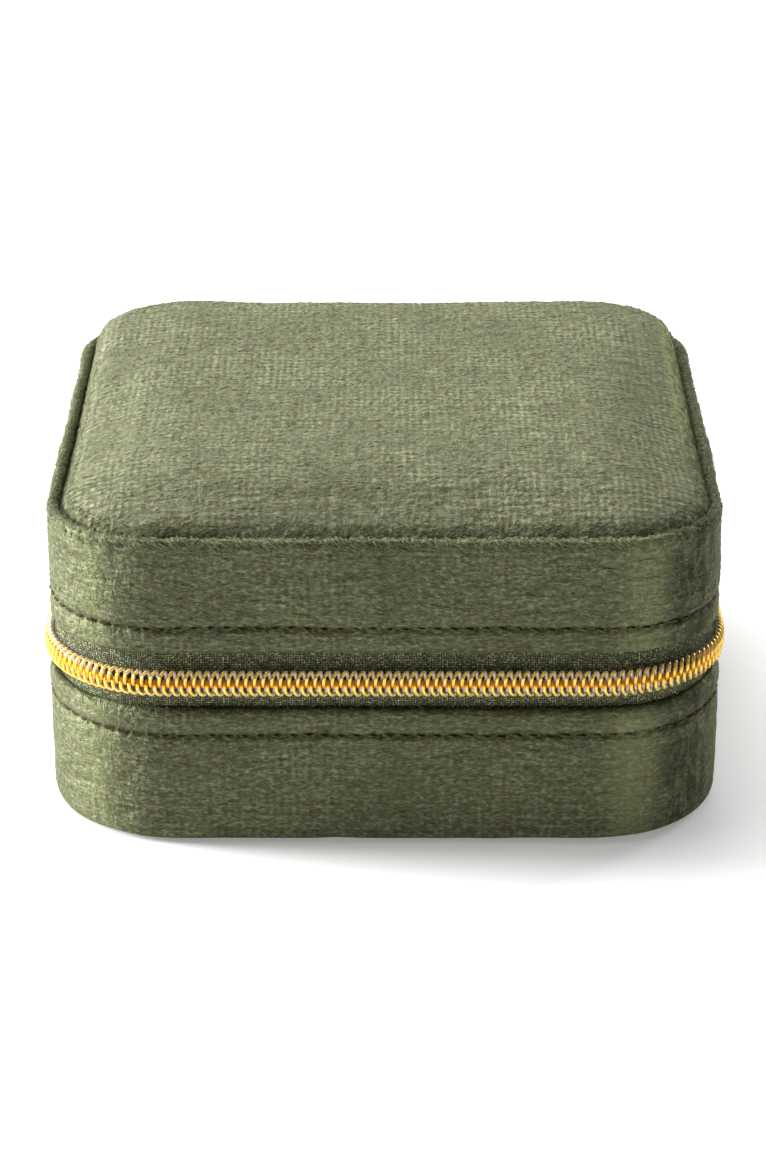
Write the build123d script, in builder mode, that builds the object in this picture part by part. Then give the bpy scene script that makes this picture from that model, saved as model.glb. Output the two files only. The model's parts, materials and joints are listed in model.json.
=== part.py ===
"""Square zip-around travel jewelry case: padded velvet lid and base, coil zip, ring rolls, mirror.

The origin is the middle of the underside that the case rests on, +Z is up and the front faces -Y.
All sizes are in millimetres.
"""

import os

from build123d import *

# Overall shape -------------------------------------------------------------------------------
base_width = 101.2          # outer velvet of the base, front to back and side to side
base_corner = 20.1
lid_width = 100.0           # outer velvet of the lid
lid_corner = 17.4
rim_top = 48.4              # top of the lid's raised rim
crown_top = 53.7            # highest point of the padded top
arc_centre = 31.45          # corner arcs of every inner layer turn about (+-this, +-this)

# Heights of the two halves and of the zip between them ---------------------------------------
base_hem = 22.2             # upper hem of the base's velvet
lid_hem = 31.1              # lower hem of the lid's velvet
zip_height = 26.1           # middle of the zip's chain
tape_reach = 12.0           # width of each woven tape, from the chain's middle to its sewn edge
chain_half = 2.1            # half the width of the closed chain
chain_gap = 0.6             # half the free strip in the middle, which the slider's post runs in
lower_tape_edge = zip_height - tape_reach
upper_tape_edge = zip_height + tape_reach

# Layers of the wall, as half widths from the middle of the case, outside in --------------------
coil_outer = 50.8
coil_inner = 49.2
tape_outer = 49.05
tape_inner = 48.55
board_outer = 48.5
board_inner = 47.0
lining_outer = 46.95
lining_inner = 46.25
board = 1.5                 # thickness of the stiff card
velvet = 0.65
fit = 0.05                  # gap between glued layers, so that they stay separate solids

# Bottom of the case ----------------------------------------------------------------------------
turned_under = 0.35         # underside of the velvet that is turned under the base
floor_board_under = 0.95
floor_board_top = floor_board_under + board
wall_board_top = base_hem - 0.2
lining_floor_top = floor_board_top + fit + 1.0
floor_level = lining_floor_top + fit

# Padded top ------------------------------------------------------------------------------------
top_board_top = 45.1
top_board_under = top_board_top - board
rim_inner = 48.25           # inner side of the rim's folded velvet
cushion_bottom = top_board_top + fit
cushion_layers = [          # height and half width of the pad's outline
    (cushion_bottom, 47.7),
    (47.6, 47.8),
    (49.6, 47.2),
    (51.3, 45.4),
    (52.5, 41.8),
    (53.3, 34.0),
    (crown_top, 22.0),
]
cushion_skin = 0.8
cushion_roundness = 0.34    # corner radius of the pad as a share of its half width

# Hinge across the back ---------------------------------------------------------------------------
gusset_half = 29.8
zip_end = 30.0              # the tapes and the chain end this far either side of the middle
hinge_y = 50.8

# Mirror in the lid -----------------------------------------------------------------------------
mirror_side = 70.0
mirror_corner = 9.0
mirror_glass_thickness = 1.5
mirror_card = 0.4
mirror_window = 65.0
mirror_frame_under = 40.0

# Inside of the base -----------------------------------------------------------------------------
roll_count = 4
roll_width = 11.2
roll_pitch = 11.5
roll_height = 14.0
partition_x = 1.8           # middle of the fixed partition, right of the ring rolls
partition_thickness = 2.4
partition_height = 16.0
divider_y = 15.0            # the two lift-out dividers stand this far either side of the middle
divider_thickness = 1.6
divider_height = 15.0
slot_depth = 0.9

# Slider, link and pull tab ------------------------------------------------------------------------
slider_y = 24.0             # where the slider is parked, on the straight right side
slider_length = 8.4
slider_half_height = 3.3
plate = 0.9
outer_plate = 51.0          # inner face of the slider's outer plate
inner_plate = 48.35         # outer face of the slider's inner plate
bridge_x = 53.3             # middle of the bridge bar that the link hangs on
bridge_bar = 0.8
link_radius = 0.95          # centre line of the link's round ends
link_wire = 0.35
link_foot = 21.9            # middle of the link's lower round end
tab_eye = 20.72             # middle of the pull tab's eye
tab_thickness = 0.9
tab_foot = 5.0

os.makedirs("parts", exist_ok=True)
finished = {}


def finish(name, builder):
    """Label a finished piece and write it out."""
    builder.part.label = name
    finished[name] = builder.part
    export_step(builder.part, f"parts/{name}.step")


def layer(half, mode=Mode.ADD):
    """Rounded square of one inner layer; all layers share the middles of their corner arcs."""
    RectangleRounded(2 * half, 2 * half, half - arc_centre, mode=mode)


def base_outline(inset=0.0, mode=Mode.ADD):
    """Outline of the base's velvet, or of a layer just under it."""
    RectangleRounded(base_width - 2 * inset, base_width - 2 * inset, base_corner - inset, mode=mode)


def lid_outline(inset=0.0, mode=Mode.ADD):
    """Outline of the lid's velvet, or of a layer just under it."""
    RectangleRounded(lid_width - 2 * inset, lid_width - 2 * inset, lid_corner - inset, mode=mode)


def cut_back_of_zip(reach, low, high):
    """Take the stretch between the zip's two ends, across the back, out of a ring."""
    with Locations((0, base_width / 2, (low + high) / 2)):
        Box(2 * reach, 20, high - low + 2, mode=Mode.SUBTRACT)


def cushion_sections(inset):
    """Outlines of the crowned pad from its underside up, a given distance inside the velvet."""
    sections = []
    for number, (height, half) in enumerate(cushion_layers):
        drop = 0 if number == 0 else inset
        side = 2 * (half - inset)
        with BuildSketch(Plane.XY.offset(height - drop)) as section:
            RectangleRounded(side, side, cushion_roundness * side / 2)
        sections.append(section.sketch)
    return sections


# Base: card box ---------------------------------------------------------------------------------
with BuildPart() as base_floor_board:
    with BuildSketch(Plane.XY.offset(floor_board_under)):
        layer(49.0)
    extrude(amount=board)
finish("base_floor_board", base_floor_board)

with BuildPart() as base_wall_board:
    with BuildSketch(Plane.XY.offset(floor_board_top + fit)):
        layer(board_outer)
        layer(board_inner, mode=Mode.SUBTRACT)
    extrude(amount=wall_board_top - floor_board_top - fit)
finish("base_wall_board", base_wall_board)

# Base: foam, velvet and underside -----------------------------------------------------------------
with BuildPart() as base_side_foam:
    with BuildSketch(Plane.XY.offset(floor_board_top + fit)):
        base_outline(velvet + fit)
        layer(tape_inner, mode=Mode.SUBTRACT)
    extrude(amount=lower_tape_edge - 0.3 - floor_board_top - fit)
finish("base_side_foam", base_side_foam)

with BuildPart() as base_side_cover:
    with BuildSketch(Plane.XY.offset(turned_under)):
        base_outline()
    extrude(amount=base_hem - turned_under)
    fillet(base_side_cover.faces().sort_by(Axis.Z)[0].edges(), radius=1.2)
    with BuildSketch(Plane.XY.offset(turned_under)):
        layer(48.0)
    extrude(amount=floor_board_under - turned_under, mode=Mode.SUBTRACT)
    with BuildSketch(Plane.XY.offset(floor_board_under - fit)):
        base_outline(velvet)
    extrude(amount=lower_tape_edge - 0.2 - floor_board_under + fit, mode=Mode.SUBTRACT)
    with BuildSketch(Plane.XY.offset(lower_tape_edge - 0.3)):
        layer(tape_outer + fit)
    extrude(amount=base_hem - lower_tape_edge + 0.4, mode=Mode.SUBTRACT)
    fillet(base_side_cover.faces().sort_by(Axis.Z)[-1].outer_wire().edges(), radius=0.6)
finish("base_side_cover", base_side_cover)

with BuildPart() as base_bottom_cover:
    with BuildSketch():
        layer(47.8)
    extrude(amount=floor_board_under - fit)
    fillet(base_bottom_cover.faces().sort_by(Axis.Z)[0].edges(), radius=0.3)
finish("base_bottom_cover", base_bottom_cover)

# Base: lining -------------------------------------------------------------------------------------
with BuildPart() as base_lining_floor:
    with BuildSketch(Plane.XY.offset(floor_board_top + fit)):
        layer(lining_inner - fit)
    extrude(amount=1.0)
finish("base_lining_floor", base_lining_floor)

with BuildPart() as base_lining_wall:
    with BuildSketch(Plane.XY.offset(floor_board_top + fit)):
        layer(lining_outer)
        layer(lining_inner, mode=Mode.SUBTRACT)
    extrude(amount=base_hem + 0.2 - floor_board_top - fit)
finish("base_lining_wall", base_lining_wall)

# Base: ring rolls, partition and lift-out dividers --------------------------------------------------
for number in range(roll_count):
    roll_x = -lining_inner + 0.2 + roll_width / 2 + number * roll_pitch
    with BuildPart() as ring_roll:
        with BuildSketch(Plane.XZ):
            with Locations((roll_x, floor_level + roll_height - roll_width / 2)):
                Circle(roll_width / 2)
            with Locations((roll_x, floor_level + (roll_height - roll_width / 2) / 2)):
                Rectangle(roll_width, roll_height - roll_width / 2)
        extrude(amount=lining_inner, both=True)
        with BuildSketch(Plane.XY.offset(floor_level)):
            layer(lining_inner - 0.2)
        extrude(amount=roll_height, mode=Mode.INTERSECT)
    finish(f"ring_roll_{number + 1}", ring_roll)

with BuildPart() as centre_partition:
    with Locations((partition_x, 0, floor_level)):
        Box(partition_thickness, 2 * lining_inner - 0.3, partition_height,
            align=(Align.CENTER, Align.CENTER, Align.MIN))
    slot_x = partition_x + (partition_thickness - slot_depth) / 2
    for side in (-1, 1):
        with Locations((slot_x, side * divider_y, floor_level)):
            Box(slot_depth, divider_thickness + 0.3, partition_height,
                align=(Align.CENTER, Align.CENTER, Align.MIN), mode=Mode.SUBTRACT)
finish("centre_partition", centre_partition)

divider_left = partition_x + partition_thickness / 2 - slot_depth + 0.15
divider_right = lining_inner - 0.3
for name, side in (("divider_front", -1), ("divider_rear", 1)):
    with BuildPart() as divider:
        with BuildSketch(Plane.XZ.offset(-side * divider_y)):
            with Locations(((divider_left + divider_right) / 2, floor_level + divider_height / 2)):
                Rectangle(divider_right - divider_left, divider_height)
                with Locations((0, divider_height / 2 + 2.0)):
                    Circle(6.5, mode=Mode.SUBTRACT)
        extrude(amount=divider_thickness / 2, both=True)
    finish(name, divider)

# Zip: tapes, coils and end stops -------------------------------------------------------------------
tapes = {
    "lower_zip_tape": (lower_tape_edge, zip_height - chain_gap),
    "upper_zip_tape": (zip_height + chain_gap, upper_tape_edge),
}
for name, (low, high) in tapes.items():
    with BuildPart() as zip_tape:
        with BuildSketch(Plane.XY.offset(low)):
            layer(tape_outer)
            layer(tape_inner, mode=Mode.SUBTRACT)
        extrude(amount=high - low)
        cut_back_of_zip(zip_end, low, high)
    finish(name, zip_tape)

coils = {
    "lower_zip_coil": (zip_height - chain_half, zip_height - chain_gap),
    "upper_zip_coil": (zip_height + chain_gap, zip_height + chain_half),
}
for name, (low, high) in coils.items():
    with BuildPart() as zip_coil:
        with BuildSketch(Plane.XY.offset(low)):
            layer(coil_outer)
            layer(coil_inner, mode=Mode.SUBTRACT)
        extrude(amount=high - low)
        outer_faces = zip_coil.faces().filter_by(Plane.XY)
        chamfer(outer_faces.sort_by(Axis.Z)[-1].outer_wire().edges(), length=0.4)
        chamfer(zip_coil.faces().filter_by(Plane.XY).sort_by(Axis.Z)[0].outer_wire().edges(), length=0.4)
        cut_back_of_zip(zip_end + 1.4, low, high)
    finish(name, zip_coil)

stop_middle = (coil_outer + coil_inner) / 2
for name, side in (("lower_zip_stops", -1), ("upper_zip_stops", 1)):
    with BuildPart() as zip_stops:
        stop_height = zip_height + side * (chain_gap + chain_half) / 2
        with Locations((-zip_end - 0.6, stop_middle, stop_height), (zip_end + 0.6, stop_middle, stop_height)):
            Box(1.1, 1.7, chain_half - chain_gap + 0.3)
        fillet(zip_stops.edges().filter_by(Axis.Z), radius=0.3)
    finish(name, zip_stops)

# Hinge: velvet gusset outside, lining inside ----------------------------------------------------------
with BuildPart() as hinge_gusset:
    with Locations((0, (tape_inner + tape_outer) / 2, zip_height)):
        Box(2 * gusset_half, tape_outer - tape_inner, 2 * tape_reach)
finish("hinge_gusset", hinge_gusset)

lining_gap_low = base_hem + 0.25
lining_gap_high = 30.15
with BuildPart() as hinge_gusset_lining:
    with Locations((0, (lining_inner + lining_outer) / 2, (lining_gap_low + lining_gap_high) / 2)):
        Box(2 * gusset_half, lining_outer - lining_inner, lining_gap_high - lining_gap_low)
finish("hinge_gusset_lining", hinge_gusset_lining)

# Lid: card box -----------------------------------------------------------------------------------
lid_board_under = 30.3
with BuildPart() as lid_wall_board:
    with BuildSketch(Plane.XY.offset(lid_board_under)):
        layer(board_outer)
        layer(board_inner, mode=Mode.SUBTRACT)
    extrude(amount=top_board_top - lid_board_under)
finish("lid_wall_board", lid_wall_board)

with BuildPart() as lid_top_board:
    with BuildSketch(Plane.XY.offset(top_board_under)):
        layer(board_inner - fit)
    extrude(amount=board)
finish("lid_top_board", lid_top_board)

# Lid: foam, velvet with its raised rim, and the rim's filler cord --------------------------------------
foam_low = upper_tape_edge + 0.3
with BuildPart() as lid_side_foam:
    with BuildSketch(Plane.XY.offset(foam_low)):
        lid_outline(velvet + fit)
        layer(tape_inner, mode=Mode.SUBTRACT)
    extrude(amount=cushion_bottom - foam_low)
finish("lid_side_foam", lid_side_foam)

rim_middle = (lid_width / 2 + rim_inner) / 2
cord_height = rim_top - 1.0
cord_radius = 0.45
with BuildPart() as lid_side_cover:
    with BuildSketch(Plane.XY.offset(lid_hem)):
        lid_outline()
    extrude(amount=rim_top - lid_hem)
    with BuildSketch(Plane.XY.offset(lid_hem)):
        layer(tape_outer + fit)
    extrude(amount=foam_low - lid_hem, mode=Mode.SUBTRACT)
    with BuildSketch(Plane.XY.offset(foam_low - 0.1)):
        lid_outline(velvet)
    extrude(amount=cushion_bottom - foam_low + 0.15, mode=Mode.SUBTRACT)
    with BuildSketch(Plane.XY.offset(cushion_bottom)):
        lid_outline(lid_width / 2 - rim_inner)
    extrude(amount=rim_top - cushion_bottom, mode=Mode.SUBTRACT)
    fillet(lid_side_cover.faces().sort_by(Axis.Z)[-1].edges(), radius=0.75)
    fillet(lid_side_cover.faces().sort_by(Axis.Z)[0].outer_wire().edges(), radius=0.4)
    with BuildSketch(Plane.XY.offset(cord_height - cord_radius - fit)):
        lid_outline(lid_width / 2 - rim_middle - cord_radius - fit)
        lid_outline(lid_width / 2 - rim_middle + cord_radius + fit, mode=Mode.SUBTRACT)
    extrude(amount=2 * (cord_radius + fit), mode=Mode.SUBTRACT)
finish("lid_side_cover", lid_side_cover)

with BuildPart() as lid_rim_cord:
    with BuildSketch(Plane.XY.offset(cord_height - cord_radius)):
        lid_outline(lid_width / 2 - rim_middle - cord_radius)
        lid_outline(lid_width / 2 - rim_middle + cord_radius, mode=Mode.SUBTRACT)
    extrude(amount=2 * cord_radius)
    fillet(lid_rim_cord.faces().filter_by(Plane.XY).edges(), radius=0.4)
finish("lid_rim_cord", lid_rim_cord)

# Lid: padded top ------------------------------------------------------------------------------------
with BuildPart() as lid_foam_pad:
    loft(sections=cushion_sections(cushion_skin + fit), ruled=True)
finish("lid_foam_pad", lid_foam_pad)

with BuildPart() as lid_cushion_cover:
    loft(sections=cushion_sections(0.0), ruled=True)
    loft(sections=cushion_sections(cushion_skin), ruled=True, mode=Mode.SUBTRACT)
finish("lid_cushion_cover", lid_cushion_cover)

# Lid: lining and mirror --------------------------------------------------------------------------------
lid_lining_top = top_board_under - fit
with BuildPart() as lid_lining_wall:
    with BuildSketch(Plane.XY.offset(lining_gap_high + fit)):
        layer(lining_outer)
        layer(lining_inner, mode=Mode.SUBTRACT)
    extrude(amount=lid_lining_top - lining_gap_high - fit)
finish("lid_lining_wall", lid_lining_wall)

mirror_under = lid_lining_top - mirror_card - fit - mirror_glass_thickness
with BuildPart() as mirror_frame:
    with BuildSketch(Plane.XY.offset(mirror_frame_under)):
        layer(lining_inner - fit)
        RectangleRounded(mirror_window, mirror_window, mirror_corner - 2.5, mode=Mode.SUBTRACT)
    extrude(amount=lid_lining_top - mirror_frame_under)
    with BuildSketch(Plane.XY.offset(mirror_under - fit)):
        RectangleRounded(mirror_side + 0.3, mirror_side + 0.3, mirror_corner)
    extrude(amount=lid_lining_top - mirror_under + fit, mode=Mode.SUBTRACT)
    window_edges = mirror_frame.faces().sort_by(Axis.Z)[0].inner_wires()[0].edges()
    chamfer(window_edges, length=0.8)
finish("mirror_frame", mirror_frame)

with BuildPart() as mirror_glass:
    with BuildSketch(Plane.XY.offset(mirror_under)):
        RectangleRounded(mirror_side, mirror_side, mirror_corner)
    extrude(amount=mirror_glass_thickness)
finish("mirror_glass", mirror_glass)

with BuildPart() as mirror_backing:
    with BuildSketch(Plane.XY.offset(mirror_under + mirror_glass_thickness + fit)):
        RectangleRounded(mirror_side, mirror_side, mirror_corner)
    extrude(amount=mirror_card)
finish("mirror_backing", mirror_backing)

# Slider: two plates round the chain, a post between the tapes, and a bridge for the link ----------------
bridge_foot = outer_plate + plate
with BuildPart() as zip_slider:
    slider_height = 2 * slider_half_height
    with BuildSketch(Plane.YZ.offset(outer_plate)):
        with Locations((slider_y, zip_height)):
            RectangleRounded(slider_length, slider_height, 1.6)
    extrude(amount=plate)
    fillet(zip_slider.faces().sort_by(Axis.X)[-1].edges(), radius=0.3)
    with BuildSketch(Plane.YZ.offset(inner_plate)):
        with Locations((slider_y, zip_height)):
            RectangleRounded(slider_length, slider_height, 1.6)
    extrude(amount=-plate)
    for side in (-1, 1):
        flange_middle = zip_height + side * (slider_half_height - 0.45)
        with Locations((coil_inner + 0.1, slider_y, flange_middle)):
            Box(outer_plate - coil_inner, slider_length - 3.2, 0.8,
                align=(Align.MIN, Align.CENTER, Align.CENTER))
    with Locations((inner_plate - 0.1, slider_y + slider_length / 2 - 1.5, zip_height)):
        Box(outer_plate - inner_plate + 0.2, 1.6, 0.7, align=(Align.MIN, Align.CENTER, Align.CENTER))
    with BuildSketch(Plane.XY.offset(zip_height)):
        with Locations(((bridge_foot + bridge_x + bridge_bar / 2) / 2 - 0.1, slider_y)):
            RectangleRounded(bridge_x + bridge_bar / 2 - bridge_foot + 0.2, 6.4, 0.7)
        with Locations(((bridge_foot + bridge_x - bridge_bar / 2) / 2, slider_y)):
            Rectangle(bridge_x - bridge_bar / 2 - bridge_foot, 4.8, mode=Mode.SUBTRACT)
    extrude(amount=bridge_bar / 2, both=True)
finish("zip_slider", zip_slider)

# Link: an upright oval ring round the bridge bar ----------------------------------------------------------
with BuildPart() as pull_link:
    with BuildLine(Plane.XZ.offset(-slider_y)) as link_route:
        inner_x = bridge_x - link_radius
        outer_x = bridge_x + link_radius
        Line((inner_x, link_foot), (inner_x, zip_height))
        ThreePointArc((inner_x, zip_height), (bridge_x, zip_height + link_radius), (outer_x, zip_height))
        Line((outer_x, zip_height), (outer_x, link_foot))
        ThreePointArc((outer_x, link_foot), (bridge_x, link_foot - link_radius), (inner_x, link_foot))
    with BuildSketch(Plane(origin=link_route.line @ 0, z_dir=(0, 0, 1))):
        Circle(link_wire)
    sweep(path=link_route.line)
finish("pull_link", pull_link)

# Pull tab: a flat tapered tab with an eye ------------------------------------------------------------------
with BuildPart() as pull_tab:
    with BuildSketch(Plane.YZ.offset(bridge_x - tab_thickness / 2)):
        with BuildLine():
            Polyline((slider_y - 1.5, tab_eye), (slider_y - 2.8, tab_foot), (slider_y + 2.8, tab_foot),
                     (slider_y + 1.5, tab_eye), close=True)
        make_face()
        fillet(vertices().group_by(Axis.Y)[0], radius=1.4)
        with Locations((slider_y, tab_eye)):
            Circle(1.8)
            Circle(0.75, mode=Mode.SUBTRACT)
        with Locations((slider_y, tab_foot + 5.2)):
            SlotOverall(7.0, 1.7, rotation=90, mode=Mode.SUBTRACT)
    extrude(amount=tab_thickness)
finish("pull_tab", pull_tab)

print(f"{len(finished)} pieces written")
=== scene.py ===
"""Looks of the travel jewelry case: velvet, coil zip, stitching, linings and gold hardware.

Lengths are in metres, in the CAD frame: the case rests on z = 0 and its front faces -Y.
MM turns millimetres into metres.
"""
import json
import math
import bpy
import numpy as np
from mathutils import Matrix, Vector
from mathutils.geometry import delaunay_2d_cdt


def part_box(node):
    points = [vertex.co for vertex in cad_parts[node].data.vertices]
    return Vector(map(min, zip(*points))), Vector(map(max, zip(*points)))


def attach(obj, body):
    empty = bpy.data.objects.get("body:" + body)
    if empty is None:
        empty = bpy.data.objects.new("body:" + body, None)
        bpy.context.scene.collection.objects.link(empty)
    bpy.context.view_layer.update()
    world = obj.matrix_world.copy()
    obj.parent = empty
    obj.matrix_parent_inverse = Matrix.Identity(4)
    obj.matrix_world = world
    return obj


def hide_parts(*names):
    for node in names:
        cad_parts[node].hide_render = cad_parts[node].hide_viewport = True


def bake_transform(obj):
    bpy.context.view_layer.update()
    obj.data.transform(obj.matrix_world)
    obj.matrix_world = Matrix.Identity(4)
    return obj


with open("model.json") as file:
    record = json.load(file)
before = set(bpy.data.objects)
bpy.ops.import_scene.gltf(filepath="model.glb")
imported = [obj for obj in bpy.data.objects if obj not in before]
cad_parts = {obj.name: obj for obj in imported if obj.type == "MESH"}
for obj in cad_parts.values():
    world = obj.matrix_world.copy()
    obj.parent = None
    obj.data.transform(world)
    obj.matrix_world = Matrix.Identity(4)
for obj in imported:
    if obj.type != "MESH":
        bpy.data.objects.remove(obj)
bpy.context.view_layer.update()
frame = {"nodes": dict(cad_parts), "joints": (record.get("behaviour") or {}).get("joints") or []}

MM = 0.001
TAU = 2 * math.pi


def half_of(node):
    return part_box(node)[1].x


def bottom_of(node):
    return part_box(node)[0].z


def top_of(node):
    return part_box(node)[1].z


# ---- Sizes, from the frame ----
BASE_HALF, BASE_CORNER = half_of("base_side_cover"), 20.1 * MM
LID_HALF, LID_CORNER = half_of("lid_side_cover"), 17.4 * MM
HEM_DROP = 0.4 * MM                 # the turned edges of the velvet lie this much lower than the CAD's
BASE_HEM, LID_HEM = top_of("base_side_cover") - HEM_DROP, bottom_of("lid_side_cover") - HEM_DROP
RIM_TOP = top_of("lid_side_cover")
CROWN_TOP = top_of("lid_cushion_cover")
LAYER_CENTRE = 31.45 * MM           # corner arcs of the inner layers turn about (+-this, +-this)
ZIP_HEIGHT = (bottom_of("lower_zip_coil") + top_of("upper_zip_coil")) / 2
TAPE_OUTER = half_of("lower_zip_tape")
TAPE_THICKNESS = 0.45 * MM
TAPE_REACH = top_of("upper_zip_tape") - ZIP_HEIGHT
COIL_OUTER = half_of("lower_zip_coil")
ZIP_END = 30.0 * MM                 # the tapes end this far either side of the middle of the back
COIL_END = 31.4 * MM
HINGE = Vector(frame["joints"][0]["pos_m"])
UPPER_STITCHES = LID_HEM + 3.9 * MM
LOWER_STITCHES = BASE_HEM - 4.1 * MM
STITCH_PITCH = 2.35 * MM


# ---- Meshes ----
class Outline:
    """Rounded square seen from above, walked from the middle of the back by way of the right side."""

    def __init__(self, half, corner):
        self.half, self.corner = half, corner
        self.straight = 2 * (half - corner)
        self.arc = corner * math.pi / 2
        self.length = 4 * (self.straight + self.arc)

    def at(self, distance):
        """Points and outward normals at distances along the outline."""
        distance = np.asarray(distance, float) % self.length
        shifted = (distance + self.straight / 2) % self.length
        side = np.floor(shifted / (self.straight + self.arc)).astype(int) % 4
        along = shifted - side * (self.straight + self.arc)
        on_arc = along > self.straight
        turn = np.where(on_arc, (along - self.straight) / self.corner, 0.0)
        run = np.where(on_arc, self.straight, along) - self.straight / 2
        inner = self.half - self.corner
        across, out = np.sin(turn), np.cos(turn)
        x, y = run + self.corner * across, inner + self.corner * out
        c, s = np.cos(-side * math.pi / 2), np.sin(-side * math.pi / 2)
        return tuple(np.stack([c * u - s * v, s * u + c * v], -1) for u, v in ((x, y), (across, out)))


def matching_spots(outline, straight_steps, arc_steps):
    """Distances along an outline; the same place in the list is the same corner or side on every outline."""
    straight = np.linspace(0, outline.straight, straight_steps, endpoint=False)
    arc = outline.straight + np.linspace(0, outline.arc, arc_steps, endpoint=False)
    side = np.concatenate([straight, arc])
    sides = np.arange(4)[:, None] * (outline.straight + outline.arc)
    return (side[None] + sides).ravel() - outline.straight / 2


def curve(points, samples):
    """Catmull-Rom curve from the second given point to the last but one, with samples for each stretch."""
    a, b, c, d = (p[:, None] for p in (points[:-3], points[1:-2], points[2:-1], points[3:]))
    t = np.linspace(0, 1, samples, endpoint=False)[None, :, None]
    line = 2 * b + (c - a) * t + (2 * a - 5 * b + 4 * c - d) * t ** 2 + (3 * b - a - 3 * c + d) * t ** 3
    return 0.5 * line.reshape(-1, points.shape[1])


def lengths_along(line):
    """Distance of each point of a line from its start, along the line."""
    return np.concatenate([[0], np.cumsum(np.linalg.norm(np.diff(line, axis=0), axis=1))])


def walk(line, distances):
    """Points at distances along a line."""
    lengths = lengths_along(line)
    return np.stack([np.interp(distances, lengths, line[:, k]) for k in range(line.shape[1])], -1)


def smooth_line(points, step):
    """Points evenly spaced along a smooth curve through the given ones."""
    p = np.asarray(points, float)
    p = np.vstack([2 * p[0] - p[1], p, 2 * p[-1] - p[-2]])
    line = np.vstack([curve(p, 40), p[-2:-1]])
    length = lengths_along(line)[-1]
    return walk(line, np.linspace(0, length, max(2, int(round(length / step)) + 1)))


def smoothstep(x):
    x = np.clip(x, 0, 1)
    return x * x * (3 - 2 * x)


def unit(vectors):
    return vectors / (np.linalg.norm(vectors, axis=-1, keepdims=True) + 1e-12)


def ripples(points, size, seed):
    """Smooth random unevenness with bumps of about the given size, between about -1 and 1."""
    rng = np.random.default_rng(seed)
    waves = 26
    total = np.zeros(points.shape[:-1])
    for _ in range(waves):
        direction = rng.normal(size=points.shape[-1])
        direction /= np.linalg.norm(direction)
        total += np.cos(points @ direction * TAU / size * rng.uniform(0.6, 1.5) + rng.uniform(0, TAU))
    return total / math.sqrt(waves)


def make_object(name, vertices, faces, cloth=None):
    """Object of a mesh; cloth gives each vertex's place on its flat cloth, kept as the UV map."""
    mesh = bpy.data.meshes.new(name)
    mesh.from_pydata(np.asarray(vertices).tolist(), [], faces)
    mesh.polygons.foreach_set("use_smooth", [True] * len(mesh.polygons))
    if cloth is not None:
        layer = mesh.uv_layers.new(name="Cloth")
        corners = np.zeros(len(mesh.loops), np.int32)
        mesh.loops.foreach_get("vertex_index", corners)
        layer.data.foreach_set("uv", np.asarray(cloth, np.float32)[corners].ravel())
    mesh.validate()
    obj = bpy.data.objects.new(name, mesh)
    bpy.context.scene.collection.objects.link(obj)
    return obj


def vertices_of(piece):
    return np.array([v.co for v in piece.data.vertices])


def normals_of(piece):
    return np.array([v.normal for v in piece.data.vertices])


def put_vertices(piece, places):
    piece.data.vertices.foreach_set("co", places.astype(np.float32).ravel())


def paint(piece, label, values):
    """Give the vertices a value each, for the material to read."""
    attribute = piece.data.attributes.new(label, "FLOAT", "POINT")
    attribute.data.foreach_set("value", values.astype(np.float32).ravel())


def grid_faces(rows, columns, close_rows=False, close_columns=False):
    """Quads of a grid of vertices, row after row."""
    r, c = np.meshgrid(np.arange(rows if close_rows else rows - 1),
                       np.arange(columns if close_columns else columns - 1), indexing="ij")
    r2, c2 = (r + 1) % rows, (c + 1) % columns
    quads = np.stack([r * columns + c, r * columns + c2, r2 * columns + c2, r2 * columns + c], -1)
    return quads.reshape(-1, 4).tolist()


def grid_object(name, points, distances, profile, close_rows=False, close_columns=False, cap_rows=False):
    """Object of a grid of points; cap_rows closes the first and last row's loops with a face.

    Its flat cloth is measured by the distances along its rows, and over the profile that they share.
    """
    cloth = np.stack(np.meshgrid(distances, lengths_along(profile), indexing="ij"), -1)
    rows, columns = points.shape[:2]
    faces = grid_faces(rows, columns, close_rows, close_columns)
    if cap_rows:
        faces.append(list(range(columns)))
        faces.append(list(range((rows - 1) * columns, rows * columns))[::-1])
    return make_object(name, points.reshape(-1, 3), faces, cloth.reshape(-1, 2))


def band_points(outline, distances, profile):
    """Points of a profile of (outward, height) pairs carried along an outline."""
    places, normals = outline.at(distances)
    points = np.zeros((len(distances), len(profile), 3))
    points[..., :2] = places[:, None] + normals[:, None] * profile[None, :, :1]
    points[..., 2] = profile[None, :, 1]
    return points, np.repeat(normals[:, None], len(profile), 1)


def profile_at(height, pairs, up=1):
    """Profile from pairs in millimetres: outward, and up from a height (or down, if up is -1)."""
    return [(x * MM, height + up * z * MM) for x, z in pairs]


def distance_inside(outline, points):
    """How far points lie inside a rounded square."""
    q = np.abs(points) - (outline.half - outline.corner)
    outside = np.linalg.norm(np.maximum(q, 0), axis=-1)
    within = np.minimum(np.max(q, axis=-1), 0)
    return outline.corner - outside - within


def panel(outline, rings, step, margin):
    """Flat triangulated panel from rings of edge points, outermost first, and a grid inside a margin."""
    count = len(rings[0])
    reach = np.arange(-int(outline.half / step), int(outline.half / step) + 1) * step
    inside = np.array([(x, y) for x in reach for y in reach])
    inside = inside[distance_inside(outline, inside) > margin]
    loop = [(i, (i + 1) % count) for i in range(count)]
    places = [Vector(p) for p in np.vstack([*rings, inside])]
    flat, _, faces, *_ = delaunay_2d_cdt(places, loop, [], 1, 1e-7)
    return np.array([tuple(v) for v in flat]), [list(f) for f in faces]


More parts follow.
